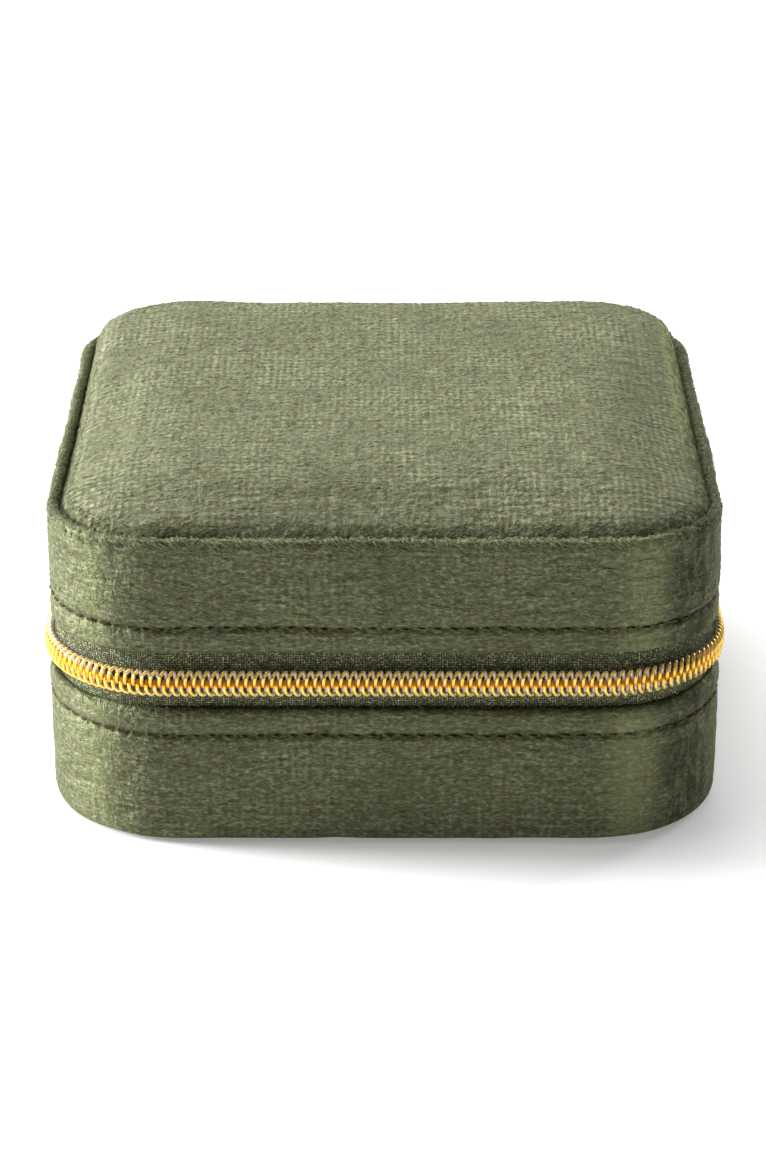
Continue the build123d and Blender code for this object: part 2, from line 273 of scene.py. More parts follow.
def tubes(paths, radius, sides=8):
    """Vertices and faces of round tubes along many paths; radius may differ from point to point."""
    count, points = paths.shape[:2]
    radius = np.broadcast_to(radius, (count, points))
    tangent = unit(np.gradient(paths, axis=1))
    steep = np.abs(tangent[..., 2:]) >= 0.9
    side = unit(np.cross(tangent, np.where(steep, (1.0, 0.0, 0.0), (0.0, 0.0, 1.0))))
    up = np.cross(side, tangent)
    angle = (np.arange(sides) * TAU / sides)[:, None]
    ring = side[:, :, None] * np.cos(angle) + up[:, :, None] * np.sin(angle)
    vertices = (paths[:, :, None] + ring * radius[:, :, None, None]).reshape(-1, 3)
    one = np.array(grid_faces(points, sides, close_columns=True))
    faces = (one[None] + (np.arange(count) * points * sides)[:, None, None]).reshape(-1, 4).tolist()
    for k in range(count):
        first = k * points * sides
        last = first + (points - 1) * sides
        faces.append(list(range(first, first + sides))[::-1])
        faces.append(list(range(last, last + sides)))
    return vertices, faces


# ---- Materials ----
class Nodes:
    """Small helper that adds nodes to a new material round its Principled shader."""

    def __init__(self, name, **constants):
        self.material = bpy.data.materials.new(name)
        self.material.use_nodes = True
        self.tree = self.material.node_tree
        self.shader = self.tree.nodes["Principled BSDF"]
        for socket, value in constants.items():
            self.shader.inputs[socket.replace("_", " ")].default_value = value

    def add(self, kind, inputs=None, **settings):
        node = self.tree.nodes.new(kind)
        for key, value in settings.items():
            setattr(node, key, value)
        for key, value in (inputs or {}).items():
            self.put(node.inputs[key], value)
        return node

    def put(self, socket, value):
        if isinstance(value, bpy.types.NodeSocket):
            self.tree.links.new(value, socket)
        else:
            socket.default_value = value

    def cloth(self, along=1.0, across=1.0):
        """Place on the flat cloth in metres, stretched for streaks."""
        return self.stretched(self.add("ShaderNodeUVMap", uv_map="Cloth").outputs["UV"], along, across, 1.0)

    def place(self, x=1.0, y=1.0, z=1.0):
        """Place on the object in metres, stretched for streaks."""
        return self.stretched(self.add("ShaderNodeTexCoord").outputs["Object"], x, y, z)

    def stretched(self, place, *scale):
        return self.add("ShaderNodeMapping", {"Vector": place, "Scale": scale}).outputs["Vector"]

    def painted(self, label):
        """Value that paint() gave the vertices."""
        return self.add("ShaderNodeAttribute", attribute_name=label).outputs["Fac"]

    def noise(self, vector, size, detail=2.0, roughness=0.5, distortion=0.0):
        """Noise whose features are about size metres across."""
        inputs = {"Vector": vector, "Scale": 1.0 / size, "Detail": detail, "Roughness": roughness,
                  "Distortion": distortion}
        return self.add("ShaderNodeTexNoise", inputs).outputs["Fac"]

    def waves(self, vector, pitch, direction, wander):
        """Rows of the given pitch in metres, which wander by the given amount."""
        inputs = {"Vector": vector, "Scale": TAU / 20 / pitch, "Distortion": wander, "Detail": 2.0,
                  "Detail Scale": 1.5}
        return self.add("ShaderNodeTexWave", inputs, bands_direction=direction).outputs["Fac"]

    def math(self, operation, a, b=0.0, clamp=False):
        node = self.add("ShaderNodeMath", operation=operation, use_clamp=clamp)
        self.put(node.inputs[0], a)
        self.put(node.inputs[1], b)
        return node.outputs[0]

    def times(self, a, b):
        return self.math("MULTIPLY", a, b)

    def share(self, part, a, b):
        """The given part of a and the rest of b."""
        return self.math("ADD", self.times(a, part), self.times(b, 1 - part))

    def spread(self, value, low, high, to_low=0.0, to_high=1.0):
        """Value mapped from the range low to high, and clamped."""
        inputs = {"Value": value, "From Min": low, "From Max": high, "To Min": to_low, "To Max": to_high}
        return self.add("ShaderNodeMapRange", inputs).outputs["Result"]

    def mix(self, factor, a, b, blend="MIX"):
        node = self.add("ShaderNodeMix", data_type="RGBA", blend_type=blend)
        self.put(node.inputs["Factor"], factor)
        self.put(node.inputs["A"], a)
        self.put(node.inputs["B"], b)
        return node.outputs["Result"]

    def ramp(self, value, *stops):
        """Colour ramp through (position, colour) stops in rising order."""
        node = self.add("ShaderNodeValToRGB", {"Fac": value})
        elements = node.color_ramp.elements
        while len(elements) < len(stops):
            elements.new(0.5)
        for index, (position, color) in enumerate(stops):
            elements[index].position = position
            elements[index].color = color
        return node.outputs["Color"]

    def bump(self, height, distance, strength=1.0, normal=None):
        inputs = {"Height": height, "Distance": distance, "Strength": strength}
        if normal is not None:
            inputs["Normal"] = normal
        return self.add("ShaderNodeBump", inputs).outputs["Normal"]

    def finish(self, color, roughness, normal=None):
        """Join the shader's main inputs, and hand over the material."""
        self.put(self.shader.inputs["Base Color"], color)
        self.put(self.shader.inputs["Roughness"], roughness)
        if normal is not None:
            self.put(self.shader.inputs["Normal"], normal)
        return self.material


def rgb(r, g, b):
    """Linear colour of an sRGB one given as 0 to 255."""
    shares = (r / 255, g / 255, b / 255)
    return tuple(((c + 0.055) / 1.055) ** 2.4 if c > 0.04 else c / 12.92 for c in shares) + (1.0,)


PILE_SHEEN = rgb(205, 208, 165)


def velvet_material(name, woven, shine, dark, middle, pale):
    """Crushed velvet with painted shade and painted highlights from its vertex values; woven is how far its
    ground cloth shows, shine how glossy its pile lies.
    """
    n = Nodes(name, Sheen_Weight=0.05, Sheen_Roughness=0.4, Sheen_Tint=PILE_SHEEN, Metallic=shine,
              Specular_IOR_Level=0.2 + 1.1 * shine, Specular_Tint=rgb(225, 228, 185))
    tufts = n.noise(n.cloth(0.7, 1.6), 0.8 * MM, roughness=0.55, distortion=0.3)
    hairs = n.noise(n.cloth(0.6, 2.2), 0.42 * MM, roughness=0.6)
    loose = n.share(0.5, n.spread(tufts, 0.28, 0.72), n.spread(hairs, 0.28, 0.72))
    columns = n.waves(n.cloth(), 1.06 * MM, "X", 3.0)
    rows = n.waves(n.cloth(), 1.5 * MM, "Y", 4.0)
    clouds = n.noise(n.cloth(), 16.0 * MM)
    shows = n.spread(clouds, 0.4, 0.6, 0.2, 1.0)
    ground = n.mix(shows, (0.5, 0.5, 0.5, 1.0), n.share(0.5, columns, rows))
    pile = n.share(woven, ground, loose)
    streaks = n.noise(n.cloth(0.8, 2.2), 4.5 * MM, detail=4.0, roughness=0.6, distortion=0.5)
    nap = n.spread(n.share(0.6, streaks, clouds), 0.32, 0.68)
    olive = n.ramp(n.share(0.82, pile, nap), (0.2, dark), (0.5, middle), (0.8, pale))
    hue = n.noise(n.cloth(), 2.6 * MM)
    warm = n.mix(n.spread(hue, 0.54, 0.72, 0.0, 0.5), olive, rgb(150, 110, 96), "SOFT_LIGHT")
    cool = n.mix(n.spread(hue, 0.46, 0.28, 0.0, 0.4), warm, rgb(120, 150, 80), "SOFT_LIGHT")
    dents = n.noise(n.cloth(1.4, 0.55), 3.0 * MM, detail=4.0, roughness=0.65, distortion=1.0)
    dents = n.spread(dents, 0.44, 0.57)
    patches = n.spread(n.noise(n.cloth(1.0, 0.7), 11.0 * MM), 0.4, 0.56, 0.72, 1.0)
    # Painted shade on the sides, broken into streaks by the patches and dents
    painted_shade = n.times(n.times(n.painted("side_shade"), patches), n.spread(dents, 0.0, 1.0, 1.0, 0.25))
    # Painted shade along the stitch line
    painted_shade = n.math("ADD", painted_shade, n.times(n.painted("sewn"), 0.6), clamp=True)
    # Painted highlights: paler olive where the vertices were given highlight values
    highlighted = n.mix(n.times(n.painted("brushed_and_highlight"), 0.3), cool, rgb(150, 156, 108))
    # The painted shade turns the colour towards near-black olive
    color = n.mix(n.times(painted_shade, 0.9), highlighted, rgb(20, 23, 12))
    smooth = 0.8 - 0.48 * shine
    roughness = n.spread(nap, 0.0, 1.0, smooth, smooth + 0.14)
    relief = n.bump(dents, 0.5 * MM, 0.3, n.bump(nap, 0.9 * MM, 0.5))
    return n.finish(color, roughness, n.bump(pile, 0.12 * MM, 0.45, relief))


def suede_material():
    n = Nodes("suede", Sheen_Weight=0.35, Sheen_Roughness=0.5, Sheen_Tint=rgb(200, 200, 175),
              Specular_IOR_Level=0.2)
    grain = n.noise(n.place(), 0.35 * MM, detail=3.0, roughness=0.65)
    brushed_and_highlight = n.noise(n.place(1.0, 1.0, 1.6), 7.0 * MM, detail=3.0, roughness=0.55, distortion=0.6)
    color = n.mix(n.spread(n.share(0.45, grain, brushed_and_highlight), 0.32, 0.68), rgb(112, 114, 88), rgb(152, 153, 126))
    return n.finish(color, n.spread(grain, 0.3, 0.7, 0.82, 0.95), n.bump(grain, 0.06 * MM, 0.7))


def tape_material():
    n = Nodes("zip-tape", Sheen_Weight=0.1, Sheen_Tint=rgb(190, 200, 140), Specular_IOR_Level=0.15)
    wander = n.noise(n.cloth(), 1.3 * MM, detail=1.0)
    warp = n.waves(n.cloth(), 0.36 * MM, "X", 2.0)
    weft = n.waves(n.cloth(), 0.33 * MM, "Y", 2.0)
    loops = n.noise(n.cloth(), 0.32 * MM, detail=1.0)
    shade = n.share(0.5, n.share(0.5, warp, weft), n.spread(loops, 0.36, 0.66))
    shade = n.times(shade, n.spread(wander, 0.3, 0.7, 0.75, 1.2))
    color = n.ramp(shade, (0.25, rgb(44, 48, 32)), (0.6, rgb(96, 100, 70)), (0.95, rgb(186, 186, 146)))
    return n.finish(color, n.spread(loops, 0.3, 0.7, 0.6, 0.8), n.bump(shade, 0.2 * MM, 0.9))


def coil_material():
    """Plated monofilament, gold where it faces out and bare and silvery behind."""
    n = Nodes("gold-coil", Specular_IOR_Level=0.6, Coat_Weight=0.1, Coat_Roughness=0.28)
    facing = n.painted("front")
    worn = n.noise(n.place(), 0.7 * MM, detail=3.0)
    gold = n.mix(n.spread(worn, 0.35, 0.65), rgb(252, 202, 74), rgb(255, 224, 124))
    gold = n.mix(n.painted("head"), gold, rgb(255, 184, 12))
    color = n.mix(facing, rgb(252, 240, 246), gold)
    n.put(n.shader.inputs["Metallic"], n.spread(facing, 0.0, 1.0, 0.1, 0.6))
    grain = n.noise(n.place(), 0.12 * MM)
    return n.finish(color, n.spread(worn, 0.3, 0.7, 0.24, 0.38), n.bump(grain, 0.012 * MM, 0.5))


def gold_material():
    n = Nodes("gold-metal", Metallic=1.0)
    scratches = n.noise(n.place(1.0, 1.0, 9.0), 0.5 * MM, detail=4.0, roughness=0.7)
    tarnish = n.noise(n.place(), 4.0 * MM, detail=3.0)
    color = n.mix(n.spread(tarnish, 0.35, 0.7), rgb(238, 196, 116), rgb(222, 172, 88))
    roughness = n.spread(scratches, 0.3, 0.75, 0.14, 0.3)
    return n.finish(color, roughness, n.bump(scratches, 0.01 * MM, 0.35))


def thread_material():
    n = Nodes("thread", Specular_IOR_Level=0.15)
    inputs = {"Vector": n.cloth(), "Scale": 1 / (0.3 * MM) / TAU, "Distortion": 0.4}
    twist = n.add("ShaderNodeTexWave", inputs, bands_direction="DIAGONAL").outputs["Fac"]
    uneven = n.noise(n.place(), 0.4 * MM)
    color = n.mix(n.times(twist, n.spread(uneven, 0.2, 0.7)), rgb(38, 33, 15), rgb(122, 104, 52))
    return n.finish(color, n.spread(uneven, 0.3, 0.7, 0.55, 0.7), n.bump(twist, 0.05 * MM, 0.8))


def card_material():
    n = Nodes("grey-board", Specular_IOR_Level=0.2)
    fibres = n.noise(n.place(), 0.5 * MM, detail=4.0, roughness=0.7)
    specks = n.spread(n.noise(n.place(), 0.8 * MM, detail=1.0), 0.66, 0.72, 0.0, 0.5)
    color = n.mix(specks, n.mix(fibres, rgb(128, 122, 112), rgb(170, 164, 152)), rgb(84, 80, 74))
    return n.finish(color, n.spread(fibres, 0.3, 0.7, 0.85, 0.95), n.bump(fibres, 0.05 * MM, 0.6))


def foam_material():
    n = Nodes("foam", Specular_IOR_Level=0.2)
    cells = n.add("ShaderNodeTexVoronoi", {"Vector": n.place(), "Scale": 1 / (0.7 * MM)}).outputs["Distance"]
    color = n.mix(cells, rgb(190, 184, 166), rgb(228, 224, 208))
    return n.finish(color, n.spread(cells, 0.0, 0.8, 0.85, 0.95), n.bump(cells, 0.2 * MM, 0.8))


def mirror_material():
    n = Nodes("mirror", Metallic=1.0)
    smudge = n.noise(n.place(), 9.0 * MM, detail=4.0, roughness=0.6)
    color = n.mix(smudge, (0.9, 0.92, 0.92, 1.0), (0.95, 0.96, 0.96, 1.0))
    return n.finish(color, n.spread(smudge, 0.45, 0.8, 0.01, 0.06))


def pile_material():
    """Loose fibres of the velvet, paler than its depths."""
    n = Nodes("pile-fibres", Sheen_Weight=0.1, Sheen_Tint=PILE_SHEEN, Specular_IOR_Level=0.2)
    shade = n.spread(n.noise(n.place(), 0.8 * MM, detail=3.0, roughness=0.7), 0.3, 0.7)
    color = n.mix(shade, rgb(92, 96, 68), rgb(152, 156, 120))
    return n.finish(color, n.spread(shade, 0.0, 1.0, 0.55, 0.75), n.bump(shade, 0.02 * MM, 0.5))


def floor_material():
    n = Nodes("floor", Specular_IOR_Level=0.0, Emission_Color=(1.0, 1.0, 1.0, 1.0), Emission_Strength=0.25)
    grain = n.noise(n.place(), 0.4)
    return n.finish(n.mix(grain, (0.86, 0.86, 0.86, 1.0), (0.9, 0.9, 0.9, 1.0)), 0.9)


VELVET = velvet_material("velvet", 0.15, 0.55, rgb(42, 45, 31), rgb(83, 86, 64), rgb(142, 145, 113))
PAD_VELVET = velvet_material("pad-velvet", 0.3, 0.04, rgb(60, 63, 46), rgb(104, 107, 83), rgb(154, 157, 128))
PILE = pile_material()
SUEDE = suede_material()
TAPE = tape_material()
COIL = coil_material()
GOLD = gold_material()
THREAD = thread_material()
CARD = card_material()
FOAM = foam_material()
MIRROR = mirror_material()


def dress(obj, material):
    """Give a piece its material."""
    obj.data.materials.clear()
    obj.data.materials.append(material)


def dress_cad(names, material):
    """Give CAD nodes that keep their own shape a better material."""
    for name in names:
        mesh = frame["nodes"][name].data
        mesh.materials.clear()
        mesh.materials.append(material)


# ---- Velvet bands ----
def velvet_band(name, outline, profile, stitch_height, seed, seam=0.0):
    """Velvet wrapped round one half of the case, with its sewn line drawn in and its pile uneven.

    seam is how far a pressed seam stands out in the middle of the front. Returns the band and its grid of
    points, for loose fibres to stand on.
    """
    distances = np.linspace(0, outline.length, int(outline.length / (0.5 * MM)), endpoint=False)
    line = smooth_line(profile, 0.33 * MM)
    points, normals = band_points(outline, distances, line)
    height = points[..., 2]
    facing_out = np.clip((line[:, 0] + 0.9 * MM) / (0.6 * MM), 0, 1)[None]
    puff = 0.12 * MM * ripples(points, 24 * MM, seed) + 0.05 * MM * ripples(points, 6 * MM, seed + 1)
    puff += 0.035 * MM * ripples(points, 1.5 * MM, seed + 2)
    phase = distances[:, None] / STITCH_PITCH * TAU
    sewn = np.exp(-((height - stitch_height) / (0.55 * MM)) ** 2)
    holes = np.exp(-((height - stitch_height) / (0.4 * MM)) ** 2) * np.clip(np.cos(phase), 0, 1) ** 4
    puff -= 0.22 * MM * sewn + 0.5 * MM * holes
    middle = (distances[:, None] - outline.length / 2) / (0.28 * MM)
    ridge = np.exp(-(middle - 1.6) ** 2) - 1.3 * np.exp(-middle ** 2)
    puff += seam * ridge * (height > stitch_height + 1.2 * MM)
    points[..., :2] += normals * (puff * facing_out)[..., None]
    points[..., 2] += 0.06 * MM * ripples(points[..., :2], 9 * MM, seed + 3)
    band = grid_object(name, points, distances, line, close_rows=True)
    facing_front = np.clip((0.1 - normals[..., 1]) / 0.7, 0, 1)
    # Painted shade along the stitch line, deepest at each stitch
    rows = np.exp(-((height - stitch_height) / (0.32 * MM)) ** 2) * (0.6 + 0.4 * np.cos(phase))
    turn = normals[..., 0]
    # Painted shade: darker where the band turns to the right, mostly on the front, and at its far left edge
    side_shade = np.clip((turn - 0.44) / 0.16, 0, 1) * (0.25 + 0.75 * facing_front)
    side_shade += 0.5 * np.clip((-turn - 0.78) / 0.16, 0, 1) * facing_front
    # Painted highlights on the front: where it turns a little to the right, and on the front-left corner
    brushed_and_highlight = np.exp(-((turn - 0.3) / 0.2) ** 2) + 0.7 * np.exp(-((turn + 0.62) / 0.17) ** 2)
    paint(band, "side_shade", side_shade)
    paint(band, "brushed_and_highlight", brushed_and_highlight * (normals[..., 1] < 0))
    paint(band, "sewn", np.clip(rows, 0, 1))
    return band, points


def base_band():
    outline = Outline(BASE_HALF, BASE_CORNER)
    hem = [(-1.55, -2.2), (-1.5, -1.0), (-1.3, -0.35), (-0.95, 0.02), (-0.5, -0.12), (-0.12, -0.6),
           (0.04, -1.3), (0.06, -2.4), (-0.04, -3.5), (-0.06, -4.1), (0.04, -5.0), (0.12, -7.5),
           (0.14, -11.0)]
    foot = [(0.1, 5.5), (0.02, 3.0), (-0.1, 1.7), (-0.45, 0.85), (-1.1, 0.42), (-2.2, 0.33), (-2.8, 0.5)]
    profile = profile_at(BASE_HEM, hem) + profile_at(0.0, foot)
    band, points = velvet_band("base_velvet", outline, profile, LOWER_STITCHES, 11)
    dress(band, VELVET)
    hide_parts("base_side_cover")
    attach(band, "base")
    hem, face = (3.0, 9.0), (22.0, points.shape[1] - 14.0)
    loose_fibres("base_hem_fibres", points, hem, 5200, (15, 12), (0.75, -0.75), 0.95 * MM, 0.5, "base")
    loose_fibres("base_face_fibres", points, face, 9000, (16, 17), (0.55, -0.3), 0.55 * MM, 0.1, "base")


def lid_band():
    outline = Outline(LID_HALF, LID_CORNER)
    hem = [(-1.0, 2.2), (-0.95, 1.0), (-0.85, 0.35), (-0.60, 0.0), (-0.28, 0.12), (-0.03, 0.55), (0.02, 1.2),
           (0.02, 2.5), (-0.06, 3.4), (-0.08, 3.9), (0.0, 4.8), (0.02, 6.5), (0.02, 10.0), (0.0, 13.5)]
    rim = [(0.0, -2.2), (0.0, -1.3), (-0.12, -0.62), (-0.45, -0.15), (-0.9, 0.0), (-1.35, -0.18),
           (-1.66, -0.7), (-1.74, -1.6), (-1.76, -3.1)]
    profile = profile_at(LID_HEM, hem) + profile_at(RIM_TOP, rim)
    band, points = velvet_band("lid_velvet", outline, profile, UPPER_STITCHES, 31, seam=0.16 * MM)
    dress(band, VELVET)
    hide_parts("lid_side_cover")
    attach(band, "lid")
    last = points.shape[1]
    hem, rim, face = (1.0, 6.0), (last - 19.0, last - 9.0), (20.0, last - 18.0)
    loose_fibres("lid_hem_fibres", points, hem, 3600, (35, 32), (0.7, -0.5), 0.8 * MM, 0.4, "lid")
    loose_fibres("lid_rim_fibres", points, rim, 6500, (36, 33), (0.8, 0.6), 0.9 * MM, 0.35, "lid")
    loose_fibres("lid_face_fibres", points, face, 8000, (37, 38), (0.55, 0.3), 0.55 * MM, 0.1, "lid")


def loose_fibres(name, points, columns, count, seeds, lean, length, lift, body):
    """Fibres at random places between two columns of a closed band of points.

    They lean along the band and up or down its profile; the seeds are for their places and their shapes.
    """
    rng = np.random.default_rng(seeds[0])
    rows = points.shape[0]
    row, column = rng.uniform(0, rows, count), rng.uniform(*columns, count)
    i, j = row.astype(int) % rows, column.astype(int)
    here, along, over = points[i, j], points[(i + 1) % rows, j], points[i, j + 1]
    root = here + (along - here) * (row % 1)[:, None] + (over - here) * (column % 1)[:, None]
    tangent, rise = unit(along - here), unit(over - here)
    fibres(name, root, unit(np.cross(rise, tangent)), tangent, rise, lean, length, lift, seeds[1], body)


def fibres(name, root, normal, tangent, rise, lean, length, lift, seed, body):
    """Tapered curved hairs, each of three sides, leaning along two directions of the cloth."""
    rng = np.random.default_rng(seed)
    count = len(root)
    spread = rng.normal(0, 0.28, (count, 2))
    lying = unit(tangent * (lean[0] + spread[:, :1]) + rise * (lean[1] + spread[:, 1:]))
    size = length * rng.uniform(0.5, 1.25, count)[:, None]
    upright = lift * rng.uniform(0.3, 1.0, count)[:, None]
    middle = root + size * (0.55 * lying + 0.75 * upright * normal)
    tip = root + size * (1.05 * lying + 0.62 * upright * normal)
    thick = rng.uniform(0.035, 0.07, count)[:, None] * MM
    across = unit(np.cross(lying, normal))
    vertices = [root - across * thick, root + across * thick, root + normal * thick,
                middle - across * thick * 0.8, middle + across * thick * 0.8, middle + normal * thick, tip]
    vertices = np.stack(vertices, 1).reshape(-1, 3)
    one = [[0, 1, 4, 3], [1, 2, 5, 4], [2, 0, 3, 5], [3, 4, 6], [4, 5, 6], [5, 3, 6], [2, 1, 0]]
    faces = [[7 * k + c for c in face] for k in range(count) for face in one]
    hairs = make_object(name, vertices, faces)
    dress(hairs, PILE)
    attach(hairs, body)


def stitches(name, outline, height, outward, body, seed):
    """Row of short threads, each sinking into the pile at its ends."""
    count = int(round(outline.length / STITCH_PITCH))
    middle = (np.arange(count) + 0.5) * STITCH_PITCH
    steps = np.linspace(-1, 1, 9)
    along = middle[:, None] + steps[None] * 0.72 * MM
    places, normals = outline.at(along)
    rng = np.random.default_rng(seed)
    sink = outward - 0.55 * MM * np.abs(steps) ** 3 + rng.normal(0, 0.06 * MM, count)[:, None]
    paths = np.zeros((count, len(steps), 3))
    paths[..., :2] = places + normals * sink[..., None]
    level, slope = (rng.normal(0, size, count)[:, None] for size in (0.09 * MM, 0.07 * MM))
    paths[..., 2] = height + level + steps[None] * slope
    radius = 0.2 * MM * (1 - 0.45 * np.abs(steps) ** 4)
    vertices, faces = tubes(paths, radius[None])
    cloth = np.stack([np.repeat(along.ravel(), 8), np.tile(np.arange(8) * 0.12 * MM, along.size)], -1)
    row = make_object(name, vertices, faces, cloth)
    dress(row, THREAD)
    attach(row, body)


# ---- Padded top ----
CUSHION_HALF, CUSHION_CORNER = 48.1 * MM, 15.4 * MM
CUSHION_SHIFT = 0.2 * MM            # the pad sits a little towards the right
EDGE_BAND = 2.2 * MM                # the pad turns down to its seam within this much of its edge
# How high the pad stands over its seam, by distance from its edge, in millimetres; it is fuller at the back
RISE_DEPTH = (0, 0.28, 0.62, 1.05, 1.6, 2.3, 3.4, 6.0, 10.0, 16.0, 25.0, 48.0)
FRONT_RISE = (0.5, 1.3, 1.9, 2.4, 2.85, 3.35, 4.05, 5.25, 6.3, 6.9, 7.2, 7.3)
BACK_RISE = (0.2, 2.2, 3.5, 4.5, 5.3, 5.95, 6.55, 7.05, 7.2, 7.3, 7.3, 7.3)


def cushion():
    """Crowned velvet panel, sewn down inside the rim and blown up by its foam."""
    outline = Outline(CUSHION_HALF, CUSHION_CORNER)
    edge_count = 300
    rings = []
    for inset in RISE_DEPTH[:6]:
        ring = Outline(outline.half - inset * MM, outline.corner - inset * MM)
        places, _ = ring.at((np.arange(edge_count) + 0.5 * (len(rings) % 2)) * ring.length / edge_count)
        rings.append(places)
    flat, faces = panel(outline, rings, 1.35 * MM, 3.1 * MM)
    depth = np.maximum(distance_inside(outline, flat), 0)
    back = smoothstep((flat[:, 1] / outline.half + 0.75) / 1.5)
    front, rear = (np.interp(depth / MM, RISE_DEPTH, rise) * MM for rise in (FRONT_RISE, BACK_RISE))
    seam_height = RIM_TOP - 1.9 * MM
    points = np.column_stack([flat, seam_height + front * (1 - back) + rear * back])
    piece = make_object("lid_cushion", points, faces, flat)
    inflate(piece, depth < 0.1 * MM)
    shape_crown(piece)
    subdivide(piece)
    roughen(piece, 0.05 * MM, 1.5 * MM, 51)
    paint_right_edge_highlight(piece)
    put_vertices(piece, vertices_of(piece) + (CUSHION_SHIFT, 0, 0))
    foam_pad(points + (CUSHION_SHIFT, 0, 0), flat, faces, depth)
    dress(piece, PAD_VELVET)
    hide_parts("lid_cushion_cover")
    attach(piece, "lid")
    cushion_fibres(piece, outline)


def paint_right_edge_highlight(piece):
    """Painted highlight: pale colour along the pad's right edge, fading out towards its front corner."""
    x, y, _ = vertices_of(piece).T
    near_edge = smoothstep((x / CUSHION_HALF - 0.915) / 0.05)
    past_front_corner = smoothstep((y + 34 * MM) / (40 * MM))
    paint(piece, "brushed_and_highlight", 2.6 * near_edge * past_front_corner)


def foam_pad(points, flat, faces, depth):
    """The pad's foam, a skin's thickness inside its velvet."""
    inside = 1 - 1.1 * MM / CUSHION_HALF
    top = points * (inside, inside, 1) - (0, 0, 0.95 * MM)
    under = top.copy()
    under[:, 2] = top_of("lid_top_board") + 0.05 * MM
    top[:, 2] = np.maximum(top[:, 2] + 0.12 * MM * ripples(top[:, :2], 6 * MM, 81), under[:, 2] + 0.3 * MM)
    count = len(top)
    edge = np.flatnonzero(depth < 1e-6)
    edge = edge[np.argsort(np.arctan2(flat[edge, 1], flat[edge, 0]))].tolist()
    sides = [[a, a + count, b + count, b] for a, b in zip(edge, edge[1:] + edge[:1])]
    shell = faces + [[i + count for i in f][::-1] for f in faces] + sides
    pad = make_object("lid_foam", np.vstack([top, under]), shell)
    dress(pad, FOAM)
    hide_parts("lid_foam_pad")
    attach(pad, "lid")


def cushion_fibres(piece, outline):
    """Loose fibres where the pad turns down to its seam, and sparser ones over its top."""
    quads = np.zeros(len(piece.data.polygons) * 4, np.int32)
    piece.data.polygons.foreach_get("vertices", quads)
    quads = quads.reshape(-1, 4)
    places = vertices_of(piece)[quads]
    normal = unit(normals_of(piece)[quads].mean(1))
    area = np.linalg.norm(np.cross(places[:, 2] - places[:, 0], places[:, 3] - places[:, 1]), axis=1) / 2
    depth = distance_inside(outline, places.mean(1)[:, :2])
    rng = np.random.default_rng(61)
    for name, near, count, lift in (("lid_cushion_edge_fibres", True, 7000, 0.4),
                                    ("lid_cushion_top_fibres", False, 6000, 0.07)):
        weight = area * ((depth < EDGE_BAND) == near)
        chosen = rng.choice(len(quads), count, p=weight / weight.sum())
        root = np.einsum("nk,nkc->nc", rng.dirichlet((1, 1, 1, 1), count), places[chosen])
        up = normal[chosen]
        tangent = unit(np.cross((0.0, -1.0, 0.0), up))
        fibres(name, root, up, tangent, np.cross(up, tangent), (0.85, 0.35), 0.8 * MM, lift, 62, "lid")


def inflate(piece, pinned, frames=16, pressure=1.0):
    """Blow a sewn panel up by cloth simulation at ten times its size, and keep the result."""
    scale = 10.0
    start = vertices_of(piece)
    put_vertices(piece, start * scale)
    group = piece.vertex_groups.new(name="seam")
    group.add([int(i) for i in np.flatnonzero(pinned)], 1.0, "REPLACE")
    cloth = piece.modifiers.new("cloth", "CLOTH")
    settings = {"quality": 6, "mass": 0.3, "tension_stiffness": 25, "compression_stiffness": 25,
                "shear_stiffness": 15, "bending_stiffness": 2.0, "vertex_group_mass": "seam",
                "use_pressure": True, "uniform_pressure_force": pressure, "shrink_min": -0.02}
    for setting, value in settings.items():
        setattr(cloth.settings, setting, value)
    cloth.settings.effector_weights.gravity = 0
    cloth.point_cache.frame_start, cloth.point_cache.frame_end = 1, frames
    scene = bpy.context.scene
    for number in range(1, frames + 1):
        scene.frame_set(number)
    graph = bpy.context.evaluated_depsgraph_get()
    moved = vertices_of(piece.evaluated_get(graph)) / scale
    piece.modifiers.clear()
    piece.vertex_groups.clear()
    shift = moved - start
    size = np.linalg.norm(shift, axis=1, keepdims=True)
    most = 2.0 * MM
    shift *= np.minimum(1.0, most / np.maximum(size, 1e-9))
    shift[:, 2] = np.maximum(shift[:, 2], 0)
    put_vertices(piece, start + 0.6 * even_out(piece.data, shift, pinned, 12))
    scene.frame_set(1)


def even_out(mesh, values, pinned, rounds):
    """Average values at the vertices with their neighbours', keeping the pinned ones."""
    edges = np.zeros(len(mesh.edges) * 2, np.int32)
    mesh.edges.foreach_get("vertices", edges)
    a, b = edges.reshape(-1, 2).T
    count = np.bincount(np.concatenate([a, b]), minlength=len(values))[:, None]
    for _ in range(rounds):
        total = np.zeros_like(values)
        np.add.at(total, a, values[b])
        np.add.at(total, b, values[a])
        values = np.where(pinned[:, None], values, 0.4 * values + 0.6 * total / count)
    return values


def shape_crown(piece):
    """Bring a blown-up panel's crown to where the CAD has it, and keep its sides off the rim."""
    co = vertices_of(piece)
    inner = Outline(CUSHION_HALF, CUSHION_CORNER)
    inward = smoothstep(distance_inside(inner, co[:, :2]) / (8 * MM))
    co[:, 2] += (CROWN_TOP + 0.15 * MM - co[:, 2].max()) * inward
    room = Outline(CUSHION_HALF + 0.3 * MM, CUSHION_CORNER + 0.3 * MM)
    beyond = np.minimum(distance_inside(room, co[:, :2]), 0)
    co[:, :2] += unit(co[:, :2]) * beyond[:, None]
    put_vertices(piece, co)


